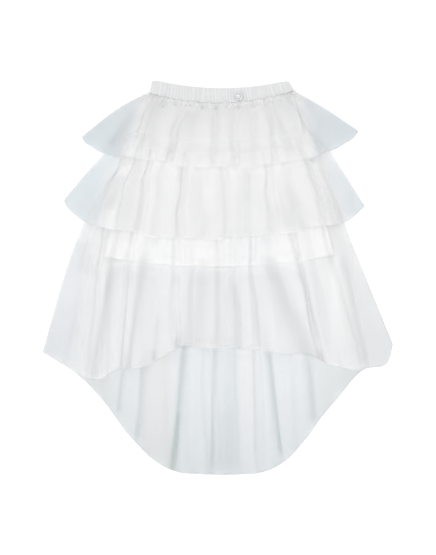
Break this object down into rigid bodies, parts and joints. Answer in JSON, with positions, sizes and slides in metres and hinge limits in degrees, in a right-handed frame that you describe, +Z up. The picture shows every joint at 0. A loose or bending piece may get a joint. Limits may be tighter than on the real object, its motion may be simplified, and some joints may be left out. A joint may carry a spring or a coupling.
{
  "type": "tulle skirt",
  "caption": "Girl's high-low tulle skirt laid flat: gathered elastic waistband, fluted flounces short in front and long behind, over an opaque lining.",
  "frame": {"origin": "under the middle of the skirt's outline, on the surface that it lies on", "axes": "+Z up off the surface, +Y up the skirt to its waist, +X to the right as the skirt's front is seen from above"},
  "size_m": [0.5948, 0.6712, 0.0413],
  "materials": {
    "tulle": "sheer soft tulle, white with an icy cast",
    "lining": "opaque plain-weave lining, matte white",
    "band": "gathered casing over elastic, matte white",
    "badge_metal": "satin"
  },
  "bodies": {
    "root": {"waistband_front": "band", "waistband_back": "band", "waist_badge": "badge_metal", "tier_1_front": "tulle", "tier_1_back": "tulle", "tier_2_front": "tulle", "tier_2_back": "tulle", "tier_3_front": "tulle", "tier_3_back": "tulle", "lining_front": "lining", "lining_back": "lining"}
  },
  "joints": []
}
